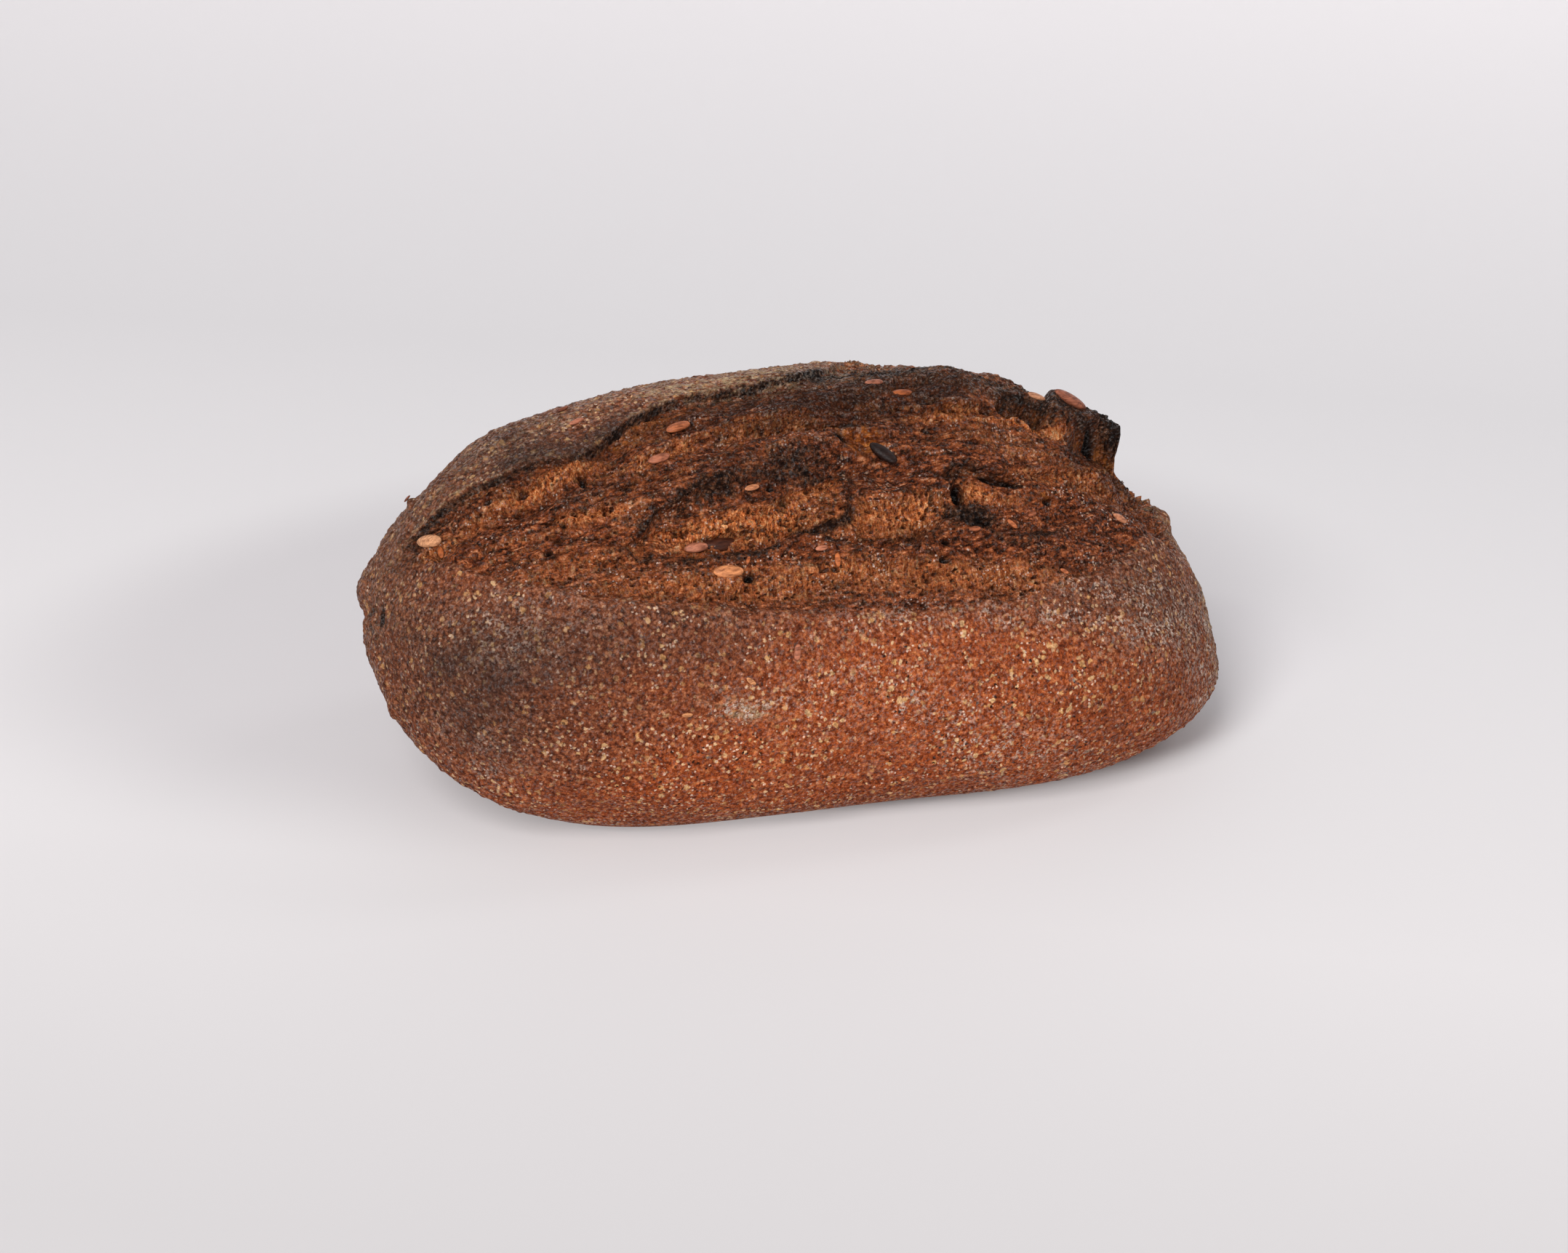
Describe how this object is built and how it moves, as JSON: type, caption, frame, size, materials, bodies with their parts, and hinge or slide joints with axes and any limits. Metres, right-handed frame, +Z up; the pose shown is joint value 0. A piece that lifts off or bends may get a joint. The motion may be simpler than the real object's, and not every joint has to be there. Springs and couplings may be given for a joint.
{
  "type": "wheat sourdough loaf",
  "caption": "Long oval sourdough loaf on its flat base, torn open along its top, with a lifted crust ear, a torn flap at one end and seeds.",
  "frame": {"origin": "middle of the loaf's box on the plane it rests on", "axes": "+X along the loaf from its whole end towards the end with the torn flap, +Y from the smooth front crust towards the back, +Z up out of the base"},
  "size_m": [0.2032, 0.1218, 0.092],
  "materials": {
    "baked_crust": "matte, speckled baked crust and torn crumb",
    "flax_seed": "smooth seed skin with a soft shine"
  },
  "bodies": {
    "root": {"loaf": "baked_crust"}
  },
  "joints": []
}
